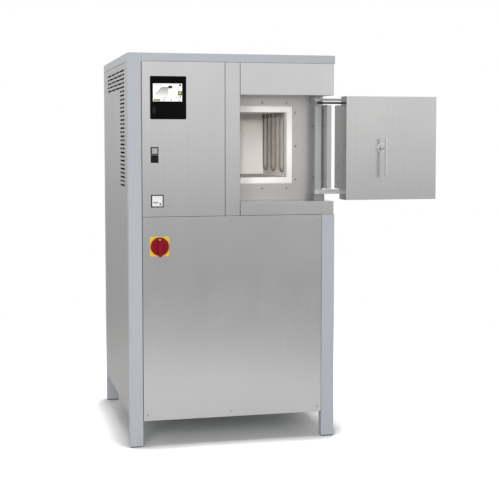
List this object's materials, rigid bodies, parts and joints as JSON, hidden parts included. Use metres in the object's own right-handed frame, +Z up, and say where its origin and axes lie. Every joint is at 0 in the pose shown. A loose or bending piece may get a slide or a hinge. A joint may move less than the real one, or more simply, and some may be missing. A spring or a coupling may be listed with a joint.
{
  "type": "chamber furnace",
  "caption": "Floor-standing laboratory chamber furnace with a parallel-swinging door, hanging heating elements and a steel cabinet.",
  "frame": {"origin": "centre of the underside of the front left foot pad, on the floor", "axes": "+Z up, +Y towards the rear of the cabinet, +X to the right as seen from the front; the door stands open on the +X side"},
  "size_m": [1.2357, 0.932, 1.5],
  "materials": {
    "rubber_pads": "black rubber pads",
    "frame_paint": "smooth light blue-grey paint",
    "roof_steel": "smooth light blue-grey paint",
    "galvanised": "galvanised steel",
    "side_steel": "fine-brushed stainless sheet",
    "front_steel": "vertically brushed stainless sheet",
    "recess_steel": "brushed stainless sheet, slightly heat-tinted",
    "bearing_steel": "machined steel",
    "white_fibre": "white vacuum-formed ceramic fibre",
    "chamber_fibre": "ceramic fibre board, slightly aged",
    "casing_steel": "plain steel sheet",
    "element_rod": "dark grey molybdenum disilicide",
    "holder_ceramic": "cream ceramic",
    "busbar_aluminium": "plain aluminium",
    "sheath_ceramic": "ivory ceramic sheath with a cast head",
    "transformer_iron": "varnished laminations and windings",
    "electrical_grey": "grey electrical housings",
    "black_front": "satin black moulded plastic",
    "screen_glass": "lit touch screen",
    "black_trim": "black moulded plastic",
    "lamp_lens": "grey translucent lens, unlit",
    "meter_case": "black frame with a white face",
    "yellow_plate": "yellow moulded plastic",
    "switch_block": "dark moulded plastic",
    "red_knob": "red moulded plastic",
    "gland_plastic": "grey moulded plastic",
    "fan_black": "black moulded plastic",
    "zinc_plate": "zinc-plated, slightly greenish grey",
    "arm_steel": "light grey paint",
    "rod_black": "blackened steel",
    "door_steel": "brushed stainless sheet",
    "handle_chrome": "polished steel",
    "latch_steel": "bright steel",
    "screw_steel": "stainless screw heads"
  },
  "bodies": {
    "cabinet": {"foot_pads": "rubber_pads", "front_left_post": "frame_paint", "front_right_post": "frame_paint", "rear_posts": "frame_paint", "top_frame": "frame_paint", "roof_panel": "roof_steel", "inner_frame": "galvanised", "base_tray": "galvanised", "left_side_panel": "side_steel", "right_side_panel": "side_steel", "rear_panel": "side_steel", "lower_front_panel": "front_steel", "control_panel": "front_steel", "column_panel": "front_steel", "header_panel": "front_steel", "sill_panel": "front_steel", "recess_faceplate": "recess_steel", "hinge_column": "recess_steel", "hinge_bearings": "bearing_steel", "latch_keeper": "bearing_steel", "fibre_collar": "white_fibre", "front_insulation": "chamber_fibre", "floor_slab": "chamber_fibre", "roof_slab": "chamber_fibre", "wall_slabs": "chamber_fibre", "inner_casing": "casing_steel", "heating_elements": "element_rod", "element_holders": "holder_ceramic", "busbars": "busbar_aluminium", "thermocouple": "sheath_ceramic", "transformer": "transformer_iron", "switchgear": "electrical_grey", "power_controller": "electrical_grey", "controller_unit": "black_front", "touch_screen": "screen_glass", "switch_frames": "black_trim", "indicator_lens": "lamp_lens", "hour_meter": "meter_case", "main_switch_plate": "yellow_plate", "main_switch_body": "switch_block", "cable_gland": "gland_plastic", "fan_housing": "fan_black", "cabinet_screws": "screw_steel"},
    "swing_arm": {"swing_post": "zinc_plate", "upper_arm": "arm_steel", "lower_arm": "arm_steel"},
    "guide": {"guide_rod": "rod_black"},
    "door": {"door_pan": "door_steel", "door_carrier": "casing_steel", "door_insulation": "white_fibre", "door_brackets": "arm_steel", "handle_rosette": "handle_chrome", "door_screws": "screw_steel"},
    "handle": {"handle_shaft": "handle_chrome", "handle_bar": "handle_chrome"},
    "latch": {"latch_bar": "latch_steel"},
    "main_switch": {"main_switch_knob": "red_knob"},
    "rocker": {"control_rocker": "black_trim"},
    "usb_flap": {"usb_cover": "black_trim"},
    "fan": {"fan_rotor": "fan_black"}
  },
  "joints": [
    {"name": "arm_swing", "type": "hinge", "parent": "cabinet", "child": "swing_arm", "pos_m": [0.7455, 0.083, 1.14], "axis": [0, 0, 1], "range_deg": [-180, 0]},
    {"name": "door_turn", "type": "hinge", "parent": "swing_arm", "child": "door", "pos_m": [0.958, 0.083, 1.14], "axis": [0, 0, 1], "range_deg": [0, 180]},
    {"name": "guide_swing", "type": "hinge", "parent": "cabinet", "child": "guide", "pos_m": [0.7455, 0.061, 1.319], "axis": [0, 0, 1], "range_deg": [-180, 0]},
    {"name": "handle_turn", "type": "hinge", "parent": "door", "child": "handle", "pos_m": [0.9795, -0.067, 1.14], "axis": [0, -1, 0], "range_deg": [0, 90]},
    {"name": "latch_slide", "type": "slide", "parent": "door", "child": "latch", "axis": [-1, 0, 0], "range_m": [0, 0.0126]},
    {"name": "main_switch_turn", "type": "hinge", "parent": "cabinet", "child": "main_switch", "pos_m": [0.091, -0.028, 0.77], "axis": [0, 1, 0], "range_deg": [0, 90]},
    {"name": "rocker_tip", "type": "hinge", "parent": "cabinet", "child": "rocker", "pos_m": [0.074, -0.018, 1.1015], "axis": [1, 0, 0], "range_deg": [-16, 0]},
    {"name": "usb_flap_open", "type": "hinge", "parent": "cabinet", "child": "usb_flap", "pos_m": [0.0725, -0.0265, 1.274], "axis": [1, 0, 0], "range_deg": [0, 110]},
    {"name": "fan_spin", "type": "hinge", "parent": "cabinet", "child": "fan", "pos_m": [0.3795, 0.808, 0.64], "axis": [0, 1, 0], "continuous": true}
  ],
  "couplings": [
    {"joint": "door_turn", "follows": "arm_swing", "ratio": -1},
    {"joint": "guide_swing", "follows": "arm_swing", "ratio": 1},
    {"joint": "latch_slide", "follows": "handle_turn", "m_per_rad": 0.008}
  ]
}
